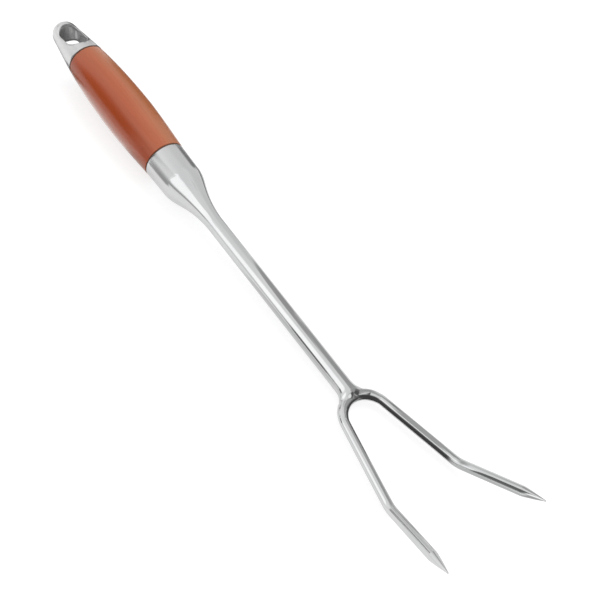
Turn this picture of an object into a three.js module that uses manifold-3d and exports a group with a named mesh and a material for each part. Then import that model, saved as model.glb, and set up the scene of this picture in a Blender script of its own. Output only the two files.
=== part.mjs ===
// Carving fork for the grill: a turned wooden grip between a slotted steel cap and a drawn
// steel bolster, a tubular shaft, and one bent rod that makes both tines.
// Millimetres. The fork lies on a table: +X runs from the cap to the tines and +Z is up.

import * as THREE from 'three';
import { mergeVertices } from 'three/addons/utils/BufferGeometryUtils.js';
import Module from 'manifold-3d';

const wasm = await Module();
wasm.setup();

// Clearances
const fit = 0.3; // between two pieces that seat on each other
const seamGap = 0.25; // between a seam washer and what it lies on

// End cap, a cone with a domed end and a long hanging slot
const capLength = 37;
const capDomeRadius = 9;
const capJointRadius = 13.2;
const slotLength = 22;
const slotWidth = 13.6;
const slotSetback = 8; // domed end to the near end of the slot
const spigotRadius = 7;
const spigotLength = 14;

// Seam washers, thin dark rings that show as a line at both ends of the wood
const washerThickness = 0.5;
const washerInset = 0.2; // how far a washer stays under the surface of its joint

// Grip, a turned barrel that is fullest ahead of its middle
const gripLength = 98;
const gripBellyRadius = 16.3;
const gripBellyAt = 57; // from the rear end of the wood
const gripRearSweep = 25; // run of the steep rear flank
const gripFrontSweep = 30; // run of the front flank
const gripFrontRadius = 14.3;
const gripEdgeBreak = 0.4;

// Tang, the stud that draws the cap, the wood and the bolster together
const tangRadius = 3;
const tangReach = 16; // length of the stud inside the cap
const tangTail = 5; // length beyond the plug, inside the bolster
const tangChamfer = 0.8;

// Bolster, a drawn shell closed by a plug at its mouth
const bolsterMouthRadius = 14.2;
const bolsterBandLength = 19; // the almost straight part behind the shoulder
const bolsterBandTaper = 0.45; // how much the band loses over its length
const bolsterShoulderRun = 11; // how far the shoulder carries forward before it turns in
const bolsterFlareLength = 39;
const bolsterNeckRun = 22; // how far the neck's tangent reaches back into the flare
const bolsterNeckRise = 0.8; // height of that tangent above the shaft
const bolsterNeckLength = 3;
const bolsterWall = 1.2;
const plugThickness = 6;

// Shaft
const shaftRadius = 5.5;
const shaftWall = 1.2;
const shaftLength = 139; // bolster's neck to the middle of the crotch
const tongueReach = 2.5; // how far the slotted end passes the middle of the rod

// Fork rod
const rodRadius = 3;
const crotchBendRadius = 14.5; // to the middle of the rod
const tineSplay = THREE.MathUtils.degToRad(11.9); // each leg from the middle line
const legLength = 54.5; // end of the crotch bend to the elbow's corner
const tineLength = 55.7; // elbow's corner to the point
const tineRise = THREE.MathUtils.degToRad(28.1);
const elbowBendRadius = 15;
const pointLength = 14;
const pointShoulderRun = 6; // the flank leaves the rod this gently
const pointShoulderRadius = 2.15;
const pointTipRadius = 0.4;

// Crotch weld
const weldFilletRadius = 6;
const weldDepth = 3.5; // weld metal behind the rod, inside the slotted shaft

// Facets
const turnedSides = 36;
const shaftSides = 28;
const rodSides = 12;
const rodSteps = 120;
const arcPoints = 10;

// Stations along the handle's axis, from the domed end
const gripStart = capLength + seamGap + washerThickness + seamGap;
const gripEnd = gripStart + gripLength;
const bolsterStart = gripEnd + seamGap + washerThickness + seamGap;
const bandEnd = bolsterStart + bolsterBandLength;
const flareEnd = bandEnd + bolsterFlareLength;
const bolsterEnd = flareEnd + bolsterNeckLength;
const shaftStart = bolsterEnd + fit;
const crotchAt = shaftStart + shaftLength;
const tongueEnd = crotchAt + tongueReach;

// Finishes
const polishedSteel = { color: 0xd2d5d8, roughness: 0.2, metalness: 1 };
const satinSteel = { color: 0xd9dadb, roughness: 0.32, metalness: 1 };
const plainSteel = { color: 0x9a9da0, roughness: 0.5, metalness: 1 };
const redWood = { color: 0x9a4f30, roughness: 0.42, metalness: 0 };
const darkFibre = { color: 0x35241c, roughness: 0.7, metalness: 0 };

// A closed solid from a geometry, with its faces turned outwards.
function solid(geometry) {
  const bare = geometry.index ? geometry.toNonIndexed() : geometry.clone();
  bare.deleteAttribute('normal');
  bare.deleteAttribute('uv');
  const merged = mergeVertices(bare, 1e-5);
  const triangles = [];
  for (let i = 0; i < merged.index.count; i += 3) {
    const corners = [0, 1, 2].map((k) => merged.index.getX(i + k));
    if (new Set(corners).size === 3) triangles.push(...corners);
  }
  const vertProperties = new Float32Array(merged.attributes.position.array);
  const build = (list) => new wasm.Manifold(new wasm.Mesh({
    numProp: 3,
    vertProperties,
    triVerts: new Uint32Array(list),
  }));
  const body = build(triangles);
  return body.volume() > 0 ? body : build(triangles.reverse());
}

// A named mesh for one piece of the fork.
function piece(name, body, finish) {
  const { vertProperties, triVerts } = body.getMesh();
  const geometry = new THREE.BufferGeometry();
  geometry.setAttribute('position', new THREE.BufferAttribute(vertProperties, 3));
  geometry.setIndex(new THREE.BufferAttribute(triVerts, 1));
  geometry.computeVertexNormals();
  const mesh = new THREE.Mesh(geometry, new THREE.MeshStandardMaterial(finish));
  mesh.name = name;
  return mesh;
}

// A body turned about the handle's axis from outline points (station, radius).
function turned(points, sides) {
  const profile = points.map((p) => new THREE.Vector2(p.y, p.x));
  return solid(new THREE.LatheGeometry(profile, sides).rotateZ(-Math.PI / 2));
}

// The closed outline of a ring: its outer points there, its inner points back.
function ring(outer, inner) {
  return [...outer, ...[...inner].reverse(), outer[0]];
}

// A plain sleeve between two stations.
function sleeve(from, to, outerRadius, innerRadius, sides) {
  const edge = (r) => [new THREE.Vector2(from, r), new THREE.Vector2(to, r)];
  return turned(ring(edge(outerRadius), edge(innerRadius)), sides);
}

// A solid round bar between two stations, on the axis.
function bar(from, to, radius, sides) {
  const outline = new THREE.Path();
  outline.moveTo(from, 0);
  outline.lineTo(from, radius);
  outline.lineTo(to, radius);
  outline.lineTo(to, 0);
  return turned(outline.getPoints(), sides);
}

// A flat outline drawn in plan (X, Y), as a block from -halfHeight to +halfHeight in Z.
function planBlock(shape, halfHeight, segments) {
  const geometry = new THREE.ExtrudeGeometry(shape, {
    depth: 2 * halfHeight,
    bevelEnabled: false,
    curveSegments: segments,
  });
  return solid(geometry.translate(0, 0, -halfHeight));
}

// A long hole with round ends in plan, from one X to another.
function longHole(fromX, toX, width) {
  const r = width / 2;
  const shape = new THREE.Shape();
  shape.absarc(fromX + r, 0, r, Math.PI / 2, 1.5 * Math.PI);
  shape.absarc(toX - r, 0, r, -Math.PI / 2, Math.PI / 2);
  return shape;
}

// End cap: the cone's side is the tangent from the joint to the dome.
function makeEndCap() {
  const toJoint = new THREE.Vector2(capLength - capDomeRadius, capJointRadius);
  const touchAngle = toJoint.angle() + Math.acos(capDomeRadius / toJoint.length());
  const outline = new THREE.Path();
  outline.absarc(capDomeRadius, 0, capDomeRadius, Math.PI, touchAngle, true);
  outline.lineTo(capLength, capJointRadius);
  outline.lineTo(capLength, spigotRadius);
  outline.lineTo(capLength + spigotLength, spigotRadius);
  outline.lineTo(capLength + spigotLength, 0);
  const blank = turned(outline.getPoints(arcPoints / 2), turnedSides);
  const slotOutline = longHole(slotSetback, slotSetback + slotLength, slotWidth);
  const slot = planBlock(slotOutline, 2 * capJointRadius, arcPoints);
  const socketFrom = capLength + spigotLength - tangReach - fit;
  const socket = bar(socketFrom, capLength + spigotLength + fit, tangRadius + fit, shaftSides);
  return blank.subtract(slot).subtract(socket);
}

// Outer outline of the grip, from its rear end to its front end.
function gripOutline() {
  const outline = new THREE.Path();
  outline.moveTo(gripStart, capJointRadius - gripEdgeBreak);
  outline.lineTo(gripStart + gripEdgeBreak, capJointRadius);
  const belly = gripStart + gripBellyAt;
  outline.quadraticCurveTo(gripStart + gripRearSweep, gripBellyRadius, belly, gripBellyRadius);
  outline.quadraticCurveTo(
    gripEnd - gripFrontSweep, gripBellyRadius,
    gripEnd - gripEdgeBreak, gripFrontRadius,
  );
  outline.lineTo(gripEnd, gripFrontRadius - gripEdgeBreak);
  return outline.getPoints(arcPoints);
}

// Grip: bored for the tang, with a wider socket for the cap's spigot.
function makeGrip() {
  const boreRadius = tangRadius + fit;
  const socketEnd = capLength + spigotLength + fit;
  const inner = new THREE.Path();
  inner.moveTo(gripStart, spigotRadius + fit);
  inner.lineTo(socketEnd, spigotRadius + fit);
  inner.lineTo(socketEnd, boreRadius);
  inner.lineTo(gripEnd, boreRadius);
  return turned(ring(gripOutline(), inner.getPoints()), turnedSides);
}

// Seam washer a little under the joint's surface, bored to pass what goes through it.
function makeWasher(from, jointRadius, boreRadius) {
  return sleeve(from, from + washerThickness, jointRadius - washerInset, boreRadius, turnedSides);
}

// Outer outline of the bolster: band, rounded shoulder and a long flare into the shaft.
function bolsterOutline() {
  const bandRadius = bolsterMouthRadius - bolsterBandTaper;
  const outline = new THREE.Path();
  outline.moveTo(bolsterStart, bolsterMouthRadius);
  outline.lineTo(bandEnd, bandRadius);
  outline.bezierCurveTo(
    bandEnd + bolsterShoulderRun, bandRadius,
    flareEnd - bolsterNeckRun, shaftRadius + bolsterNeckRise,
    flareEnd, shaftRadius,
  );
  outline.lineTo(bolsterEnd, shaftRadius);
  return outline.getPoints(2 * arcPoints);
}

// Bolster: one even wall behind its outer outline.
function makeBolster() {
  const outer = bolsterOutline();
  const inner = outer.map((p) => new THREE.Vector2(p.x, p.y - bolsterWall));
  return turned(ring(outer, inner), turnedSides);
}

// Plug that closes the bolster's mouth and carries the tang.
function makePlug() {
  const lostToTaper = (bolsterBandTaper * plugThickness) / bolsterBandLength;
  const radius = bolsterMouthRadius - lostToTaper - bolsterWall - fit;
  return sleeve(bolsterStart, bolsterStart + plugThickness, radius, tangRadius + fit, turnedSides);
}

// Tang: a plain stud with chamfered ends.
function makeTang() {
  const from = capLength + spigotLength - tangReach;
  const to = bolsterStart + plugThickness + tangTail;
  const outline = new THREE.Path();
  outline.moveTo(from, 0);
  outline.lineTo(from, tangRadius - tangChamfer);
  outline.lineTo(from + tangChamfer, tangRadius);
  outline.lineTo(to - tangChamfer, tangRadius);
  outline.lineTo(to, tangRadius - tangChamfer);
  outline.lineTo(to, 0);
  return turned(outline.getPoints(), shaftSides);
}

// Shaft: a tube whose end is slotted to straddle the rod, leaving a rounded tongue above and
// below it. grown swells every face of it outwards by that much.
function makeShaft(grown) {
  const end = tongueEnd + grown;
  const outerRadius = shaftRadius + grown;
  const tube = sleeve(shaftStart, end, outerRadius, shaftRadius - shaftWall - grown, shaftSides);
  const slotHalf = rodRadius + fit - grown;
  const slotRoundAt = crotchAt - rodRadius - weldDepth + grown + slotHalf;
  const mouth = new THREE.Shape();
  mouth.absarc(slotRoundAt, 0, slotHalf, Math.PI / 2, 1.5 * Math.PI);
  mouth.lineTo(end + rodRadius, -slotHalf);
  mouth.lineTo(end + rodRadius, slotHalf);
  const slotted = tube.subtract(solid(new THREE.ExtrudeGeometry(mouth, {
    depth: 4 * shaftRadius,
    bevelEnabled: false,
    curveSegments: arcPoints,
  }).translate(0, 0, -2 * shaftRadius).rotateX(Math.PI / 2)));
  const tongue = new THREE.Shape();
  tongue.moveTo(shaftStart - fit, outerRadius + fit);
  tongue.lineTo(shaftStart - fit, -outerRadius - fit);
  tongue.absarc(end - outerRadius, 0, outerRadius + fit, -Math.PI / 2, Math.PI / 2);
  return slotted.intersect(planBlock(tongue, 2 * shaftRadius, arcPoints));
}

// Circular bend from one straight to the next, round the corner between them.
class Bend extends THREE.Curve {
  constructor(before, corner, after, radius) {
    super();
    const inward = before.clone().sub(corner).normalize();
    const outward = after.clone().sub(corner).normalize();
    const half = inward.angleTo(outward) / 2;
    const setback = radius / Math.tan(half);
    this.start = corner.clone().addScaledVector(inward, setback);
    this.end = corner.clone().addScaledVector(outward, setback);
    const middle = inward.clone().add(outward).normalize();
    this.centre = corner.clone().addScaledVector(middle, radius / Math.sin(half));
    this.axis = outward.clone().cross(inward).normalize();
    this.turn = Math.PI - 2 * half;
  }

  getPoint(t, target = new THREE.Vector3()) {
    return target.copy(this.start).sub(this.centre)
      .applyAxisAngle(this.axis, t * this.turn).add(this.centre);
  }
}

// Middle line of the fork rod, from one point's root to the other's. The crotch's middle is
// the origin, and crotch and legs lie flat.
function rodPath() {
  const bendDepth = crotchBendRadius * (1 - Math.sin(tineSplay));
  const bendHalfWidth = crotchBendRadius * Math.cos(tineSplay);
  const legsMeet = new THREE.Vector3(bendDepth - bendHalfWidth / Math.tan(tineSplay), 0, 0);
  const side = (sign) => {
    const along = new THREE.Vector3(Math.cos(tineSplay), sign * Math.sin(tineSplay), 0);
    const elbow = new THREE.Vector3(bendDepth, sign * bendHalfWidth, 0).addScaledVector(along, legLength);
    const climb = along.clone().multiplyScalar(Math.cos(tineRise)).setZ(Math.sin(tineRise));
    const root = elbow.clone().addScaledVector(climb, tineLength - pointLength);
    return { elbow, root };
  };
  const right = side(-1);
  const left = side(1);
  const bends = [
    new Bend(right.root, right.elbow, legsMeet, elbowBendRadius),
    new Bend(right.elbow, legsMeet, left.elbow, crotchBendRadius),
    new Bend(legsMeet, left.elbow, left.root, elbowBendRadius),
  ];
  const path = new THREE.CurvePath();
  let reached = right.root;
  for (const bend of bends) {
    path.add(new THREE.LineCurve3(reached, bend.start));
    path.add(bend);
    reached = bend.end;
  }
  path.add(new THREE.LineCurve3(reached, left.root));
  return path;
}

// A round rod of any radius along the fork's middle line.
function rodAlong(path, radius) {
  const section = new THREE.Shape();
  section.absarc(0, 0, radius, 0, 2 * Math.PI);
  return solid(new THREE.ExtrudeGeometry(section, {
    steps: rodSteps,
    curveSegments: rodSides / 2,
    extrudePath: path,
  }));
}

// Ground point with a slightly full flank, along +Y from the rod's end.
function pointGeometry() {
  const outline = new THREE.Path();
  outline.moveTo(0, -fit);
  outline.lineTo(rodRadius, -fit);
  outline.lineTo(rodRadius, 0);
  outline.quadraticCurveTo(
    pointShoulderRadius, pointShoulderRun,
    pointTipRadius, pointLength - pointTipRadius,
  );
  outline.lineTo(0, pointLength);
  return new THREE.LatheGeometry(outline.getPoints(arcPoints / 2), rodSides);
}

// Fork rod: the bent rod with a point ground on each end.
function makeForkRod(path) {
  const frames = path.computeFrenetFrames(rodSteps, false);
  let rod = rodAlong(path, rodRadius);
  for (const end of [0, 1]) {
    const k = end * rodSteps;
    const outward = frames.tangents[k].clone().multiplyScalar(2 * end - 1);
    const across = outward.clone().cross(frames.normals[k]);
    const place = new THREE.Matrix4().makeBasis(across, outward, frames.normals[k]);
    place.setPosition(path.getPoint(end));
    rod = rod.add(solid(pointGeometry().applyMatrix4(place)));
  }
  return rod;
}

// Crotch weld: fillets between the shaft and the rod's shoulders, joined through the slot to
// the metal that fills the shaft's mouth.
function makeCrotchWeld(rodBody) {
  const outerBend = crotchBendRadius + rodRadius;
  const centre = crotchAt + crotchBendRadius;
  const filletY = shaftRadius + weldFilletRadius;
  const reach = outerBend + weldFilletRadius;
  const filletX = centre - Math.sqrt(reach ** 2 - filletY ** 2);
  const touch = Math.atan2(filletY, filletX - centre);
  const web = new THREE.Shape();
  web.moveTo(filletX, -shaftRadius);
  web.absarc(filletX, -filletY, weldFilletRadius, Math.PI / 2, Math.PI - touch, true);
  web.absarc(centre, 0, crotchBendRadius, -touch, touch, true);
  web.absarc(filletX, filletY, weldFilletRadius, touch - Math.PI, -Math.PI / 2, true);
  const fins = planBlock(web, rodRadius - fit / 2, arcPoints);
  const fill = bar(crotchAt - rodRadius - weldDepth, tongueEnd - fit,
    shaftRadius - shaftWall - fit, shaftSides);
  return fins.add(fill).subtract(makeShaft(fit)).subtract(rodBody);
}

// How far the handle tilts up from the crotch when the fork lies on the end of its shaft and
// on its bolster or its belly, whichever touches first.
function restTilt() {
  const outline = [...gripOutline(), ...bolsterOutline()];
  return Math.max(...outline.map((p) => Math.atan2(p.y - shaftRadius, tongueEnd - p.x)));
}

const path = rodPath();
const tilt = restTilt();
const grownRod = rodAlong(path, rodRadius + fit)
  .rotate([0, -THREE.MathUtils.radToDeg(tilt), 0])
  .translate([crotchAt, 0, 0]);
const rearJointRadius = capJointRadius - gripEdgeBreak;
const rearWasher = makeWasher(capLength + seamGap, rearJointRadius, spigotRadius + fit);
const frontJointRadius = Math.min(gripFrontRadius - gripEdgeBreak, bolsterMouthRadius);
const frontWasher = makeWasher(gripEnd + seamGap, frontJointRadius, tangRadius + fit);

const handle = new THREE.Group();
handle.add(
  piece('end_cap', makeEndCap(), satinSteel),
  piece('rear_seam_washer', rearWasher, darkFibre),
  piece('handle_grip', makeGrip(), redWood),
  piece('front_seam_washer', frontWasher, darkFibre),
  piece('tang_rod', makeTang(), plainSteel),
  piece('bolster_plug', makePlug(), plainSteel),
  piece('bolster', makeBolster(), polishedSteel),
  piece('shaft_tube', makeShaft(0), polishedSteel),
  piece('crotch_weld', makeCrotchWeld(grownRod), polishedSteel),
);
handle.rotation.y = tilt;
handle.position.set(-crotchAt * Math.cos(tilt), 0, crotchAt * Math.sin(tilt));

const fork = new THREE.Group();
fork.add(handle, piece('fork_rod', makeForkRod(path), polishedSteel));

// The origin is under the middle of the fork, on the table.
const extent = new THREE.Box3().setFromObject(fork, true);
const middle = extent.getCenter(new THREE.Vector3());
fork.position.set(-middle.x, -middle.y, -extent.min.z);

export default fork;
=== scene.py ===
# %% [markdown]
# # A long carving fork for the grill
#
# A turned wooden grip sits between a slotted steel cap and a flared steel bolster. A steel tube
# reaches forward to one bent rod, which makes both tines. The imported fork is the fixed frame: each
# visible piece below is a finer mesh that stands in the place of one of its nodes. All measures
# are in metres.

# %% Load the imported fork
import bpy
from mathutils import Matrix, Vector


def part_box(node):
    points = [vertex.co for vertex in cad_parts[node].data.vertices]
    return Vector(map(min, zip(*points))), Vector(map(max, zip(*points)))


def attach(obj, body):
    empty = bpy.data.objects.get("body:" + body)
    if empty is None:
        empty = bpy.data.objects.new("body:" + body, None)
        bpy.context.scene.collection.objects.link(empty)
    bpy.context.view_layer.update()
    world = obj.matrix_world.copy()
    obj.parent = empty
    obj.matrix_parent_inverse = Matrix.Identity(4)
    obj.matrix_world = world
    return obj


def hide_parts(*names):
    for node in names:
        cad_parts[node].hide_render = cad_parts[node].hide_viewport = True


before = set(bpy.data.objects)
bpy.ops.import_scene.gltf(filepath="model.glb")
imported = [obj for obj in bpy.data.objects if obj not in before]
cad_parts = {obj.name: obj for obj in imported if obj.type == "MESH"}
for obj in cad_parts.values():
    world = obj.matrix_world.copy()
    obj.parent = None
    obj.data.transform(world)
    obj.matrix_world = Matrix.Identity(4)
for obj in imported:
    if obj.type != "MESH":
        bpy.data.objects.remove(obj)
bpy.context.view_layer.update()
print("nodes:", ", ".join(sorted(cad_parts)))

# %% [markdown]
# ## Where the handle lies
#
# On a table the fork rests on the end of its bolster's band and on the end of its shaft, so the
# handle tilts up a little. The tilt follows from those two radii and the length between them.
# The pieces of the handle are made along a straight axis, from the domed end of the cap, and are
# then laid in place with one matrix. Modelling them tilted would work too, but turned shapes are
# far easier to write along an axis.

# %% Place of the handle and of the rod
import math
from itertools import product

import bpy
import numpy as np
from mathutils import Matrix, Vector

BAND_END = 0.156
BAND_END_RADIUS = 0.01375
SHAFT_RADIUS = 0.0055
ROD_RADIUS = 0.003
CROTCH = 0.3373
TONGUE_LENGTH = 0.0025
TONGUE_END = CROTCH + TONGUE_LENGTH

rod_low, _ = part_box("fork_rod")
crotch_middle = Vector((rod_low.x + ROD_RADIUS, 0, rod_low.z + ROD_RADIUS))
tilt = math.atan2(BAND_END_RADIUS - SHAFT_RADIUS, TONGUE_END - BAND_END)
rod_place = Matrix.Translation(crotch_middle)
handle_place = rod_place @ Matrix.Rotation(tilt, 4, "Y") @ Matrix.Translation((-CROTCH, 0, 0))
print("the handle tilts up by", round(math.degrees(tilt), 2), "degrees")

# %% [markdown]
# ## Finishes
#
# A finish is a small tree of nodes. Most of them start from noise that is drawn out along the
# piece, because steel is drawn and polished lengthwise and wood grows lengthwise. The noise reads
# the piece's own coordinates, so it stays on the piece wherever the piece goes. Nearly all of its
# values lie in the middle of its range, so that middle is what gets spread out.

# %% Helpers for noise
NOISE_MIDDLE = (0.3, 0.7)
WHOLE = (0, 1)


def new_finish(name):
    """A material with a plain shader, ready for its nodes."""
    finish = bpy.data.materials.new(name)
    finish.use_nodes = True
    return finish, finish.node_tree.nodes["Principled BSDF"]


def streaks(finish, lengths, detail):
    """Noise drawn out to these lengths along X, Y and Z of the piece."""
    tree = finish.node_tree
    place = tree.nodes.new("ShaderNodeTexCoord")
    stretch = tree.nodes.new("ShaderNodeMapping")
    stretch.inputs["Scale"].default_value = [1 / length for length in lengths]
    noise = tree.nodes.new("ShaderNodeTexNoise")
    noise.inputs["Scale"].default_value = 1.0
    noise.inputs["Detail"].default_value = detail
    tree.links.new(place.outputs["Object"], stretch.inputs["Vector"])
    tree.links.new(stretch.outputs["Vector"], noise.inputs["Vector"])
    return noise.outputs["Fac"]


def between(finish, value, low, high, source=NOISE_MIDDLE):
    """Carries a value over from its source range to another range."""
    carry = finish.node_tree.nodes.new("ShaderNodeMapRange")
    carry.inputs["From Min"].default_value, carry.inputs["From Max"].default_value = source
    carry.inputs["To Min"].default_value = low
    carry.inputs["To Max"].default_value = high
    finish.node_tree.links.new(value, carry.inputs["Value"])
    return carry.outputs["Result"]


# %% Helpers for colour and relief
def blend_colours(finish, value, first, second):
    """A colour from the first to the second as the value goes from 0 to 1."""
    tree = finish.node_tree
    mix = tree.nodes.new("ShaderNodeMix")
    mix.data_type = "RGBA"
    tree.links.new(value, mix.inputs["Factor"])
    for socket, colour in ((mix.inputs["A"], first), (mix.inputs["B"], second)):
        if isinstance(colour, tuple):
            socket.default_value = (*colour, 1.0)
        else:
            tree.links.new(colour, socket)
    return mix.outputs["Result"]


def relief(finish, shader, height, depth):
    """Raises and lowers the surface by a noise value, to this depth."""
    tree = finish.node_tree
    bump = tree.nodes.new("ShaderNodeBump")
    bump.inputs["Distance"].default_value = depth
    bump.inputs["Strength"].default_value = 1.0
    tree.links.new(height, bump.inputs["Height"])
    tree.links.new(bump.outputs["Normal"], shader.inputs["Normal"])


# %% [markdown]
# ### Steel
#
# The steel comes in three states. The bolster, shaft and rod are polished, so they mirror the
# studio, with faint lengthwise lines from the drawing. The cap is satin: the same metal, brushed
# until the reflections spread. The hidden stud and plug are left as they were cut. One function
# makes all three, because they differ only in tone, roughness and the size of their lines.

# %% Steel
HAZE_SIZE = (0.03, 0.012, 0.012)
HAZE_DETAIL = 2.0
LINE_DETAIL = 4.0


def make_steel(name, dark, light, smooth, rough, line_length, line_width, depth):
    """Steel whose tone and roughness vary a little along its lines."""
    finish, shader = new_finish(name)
    tree = finish.node_tree
    lines = streaks(finish, (line_length, line_width, line_width), LINE_DETAIL)
    haze = between(finish, streaks(finish, HAZE_SIZE, HAZE_DETAIL), 0, 1)
    tree.links.new(blend_colours(finish, haze, dark, light), shader.inputs["Base Color"])
    tree.links.new(between(finish, lines, smooth, rough), shader.inputs["Roughness"])
    relief(finish, shader, lines, depth)
    shader.inputs["Metallic"].default_value = 1.0
    return finish


polished_steel = make_steel(
    "polished_steel", dark=(0.66, 0.665, 0.67), light=(0.71, 0.712, 0.715),
    smooth=0.1, rough=0.16, line_length=0.02, line_width=0.0004, depth=2e-6)
satin_steel = make_steel(
    "satin_steel", dark=(0.70, 0.70, 0.70), light=(0.76, 0.757, 0.755),
    smooth=0.26, rough=0.36, line_length=0.006, line_width=0.0003, depth=6e-6)
plain_steel = make_steel(
    "plain_steel", dark=(0.42, 0.425, 0.43), light=(0.56, 0.565, 0.57),
    smooth=0.4, rough=0.6, line_length=0.0005, line_width=0.004, depth=2e-5)
print("steel finishes:", polished_steel.name, satin_steel.name, plain_steel.name)

# %% [markdown]
# ### Wood
#
# The wood is a close-grained reddish brown under a satin lacquer. Across the grip its colour is
# painted: deep and red on one side as painted shade, and paler on the other as a painted sheen.
# Over that lie three layers of noise: broad bands of tone, finer grain, and short dark pores. The
# lacquer is the shader's own coat, so it stays smooth above the grain, as a film of varnish does.

# %% Side of the painted shade
GRIP_BELLY_RADIUS = 0.0163
# Painted shade: the grip's colour turns deep on the side that faces this way. On the other side it
# is pale, as a painted sheen.
SHADED_SIDE = (0.0, -0.80, 0.60)
SHADE_EDGES = (0.2, 0.95)
WAVER_SIZE = (0.12, 0.01, 0.01)
WAVER_DETAIL = 2.0
WAVER = 0.15


def painted_shade_share(finish, blank_radius):
    """How much painted shade there is, from the side with the painted sheen to the shaded side."""
    tree = finish.node_tree
    place = tree.nodes.new("ShaderNodeTexCoord")
    across = tree.nodes.new("ShaderNodeVectorMath")
    across.operation = "DOT_PRODUCT"
    across.inputs[1].default_value = [side / blank_radius for side in SHADED_SIDE]
    tree.links.new(place.outputs["Object"], across.inputs[0])
    waver = between(finish, streaks(finish, WAVER_SIZE, WAVER_DETAIL), -WAVER, WAVER)
    total = tree.nodes.new("ShaderNodeMath")
    tree.links.new(across.outputs["Value"], total.inputs[0])
    tree.links.new(waver, total.inputs[1])
    return between(finish, total.outputs[0], 0, 1, SHADE_EDGES)


# %% Wood
# The pale wood colour carries a painted sheen, and the deep wood colour carries painted shade.
PAINTED_SHEEN_WOOD = ((0.43, 0.138, 0.052), (0.51, 0.170, 0.068))
PAINTED_SHADE_WOOD = ((0.42, 0.056, 0.003), (0.50, 0.072, 0.007))
BAND_SIZE = (0.16, 0.006, 0.006)
BAND_DETAIL = 3.0
GRAIN_COLOUR = (0.22, 0.045, 0.010)
GRAIN_SIZE = (0.03, 0.0008, 0.0008)
GRAIN_DETAIL = 5.0
GRAIN_SHARE = 0.14
GRAIN_ROUGHNESS = (0.45, 0.58)
GRAIN_DEPTH = 1e-5
PORE_COLOUR = (0.10, 0.020, 0.008)
PORE_SIZE = (0.004, 0.00025, 0.00025)
PORE_DETAIL = 2.0
PORE_SHARE = 0.3
PORE_EDGES = (0.62, 0.75)
LACQUER = {
    "Specular IOR Level": 0.05,
    "Coat Weight": 1.0,
    "Coat Roughness": 0.22,
    "Coat IOR": 1.6,
}


def make_wood(name, blank_radius):
    """Reddish-brown wood with lengthwise grain under a satin lacquer."""
    finish, shader = new_finish(name)
    tree = finish.node_tree
    bands = between(finish, streaks(finish, BAND_SIZE, BAND_DETAIL), 0, 1)
    grain = between(finish, streaks(finish, GRAIN_SIZE, GRAIN_DETAIL), 0, 1)
    pores = between(finish, streaks(finish, PORE_SIZE, PORE_DETAIL), 0, PORE_SHARE, PORE_EDGES)
    pale = blend_colours(finish, bands, *PAINTED_SHEEN_WOOD)
    deep = blend_colours(finish, bands, *PAINTED_SHADE_WOOD)
    # The tone runs from the painted sheen to the painted shade across the grip.
    tone = blend_colours(finish, painted_shade_share(finish, blank_radius), pale, deep)
    fine = between(finish, grain, 0, GRAIN_SHARE, WHOLE)
    grained = blend_colours(finish, fine, tone, GRAIN_COLOUR)
    colour = blend_colours(finish, pores, grained, PORE_COLOUR)
    roughness = between(finish, grain, *GRAIN_ROUGHNESS, WHOLE)
    tree.links.new(colour, shader.inputs["Base Color"])
    tree.links.new(roughness, shader.inputs["Roughness"])
    relief(finish, shader, grain, GRAIN_DEPTH)
    for socket, value in LACQUER.items():
        shader.inputs[socket].default_value = value
    return finish


red_wood = make_wood("red_wood", GRIP_BELLY_RADIUS)
print("wood finish:", red_wood.name)

# %% [markdown]
# ### Fibre
#
# The seam washers are thin rings of dark pressed fibre. They only show as a line, so a matt brown
# with a little mottling is enough.

# %% Fibre
FIBRE_COLOURS = ((0.070, 0.035, 0.022), (0.130, 0.068, 0.044))
FIBRE_ROUGHNESS = (0.65, 0.85)
FIBRE_DEPTH = 2e-5
MOTTLE_SIZE = (0.0006, 0.0006, 0.0006)
MOTTLE_DETAIL = 4.0


def make_fibre(name):
    """Matt dark fibre with fine mottling."""
    finish, shader = new_finish(name)
    tree = finish.node_tree
    mottle = between(finish, streaks(finish, MOTTLE_SIZE, MOTTLE_DETAIL), 0, 1)
    colour = blend_colours(finish, mottle, *FIBRE_COLOURS)
    roughness = between(finish, mottle, *FIBRE_ROUGHNESS, WHOLE)
    tree.links.new(colour, shader.inputs["Base Color"])
    tree.links.new(roughness, shader.inputs["Roughness"])
    relief(finish, shader, mottle, FIBRE_DEPTH)
    return finish


dark_fibre = make_fibre("dark_fibre")
print("fibre finish:", dark_fibre.name)

# %% [markdown]
# ## From points to a piece
#
# Every piece ends the same way: its points and faces become a mesh with smooth shading, sharp
# only where two faces meet at a real edge. Then it is laid in place, rides on the fork's one
# body, and hides the node that it stands for.

# %% Helper that finishes a piece
SHARP_EDGE = math.radians(40)


def make_piece(name, points, faces, place, finish, slot, *nodes):
    """A mesh piece that rides on the fork and stands for these nodes."""
    mesh = bpy.data.meshes.new(name)
    mesh.from_pydata([tuple(point) for point in points], [], faces)
    mesh.shade_smooth()
    mesh.set_sharp_from_angle(angle=SHARP_EDGE)
    mesh.materials.append(finish)
    piece = bpy.data.objects.new(name, mesh)
    bpy.context.scene.collection.objects.link(piece)
    piece.matrix_world = place
    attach(piece, "root")
    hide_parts(*nodes)
    print(name, "has", len(mesh.polygons), "faces")


# %% [markdown]
# ## Turned pieces
#
# The grip, the bolster, the shaft and the washers are all round about the handle's axis. Blender's
# Screw modifier could turn an outline, but a short function that writes the rings itself leaves
# nothing to apply. An outline is a list of (station, radius) pairs; curves in it come from control
# points, as on a drawing.

# %% Helpers for turned pieces
EDGE_STEPS = 5
TURNED_SIDES = 128


def curve(controls, steps):
    """Points of the smooth curve that these control points pull."""
    along = np.linspace(0, 1, steps + 1)[:, None]
    layers = [np.tile(np.array(point, float), (steps + 1, 1)) for point in controls]
    while len(layers) > 1:
        layers = [(1 - along) * a + along * b for a, b in zip(layers, layers[1:])]
    return layers[0]


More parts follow.
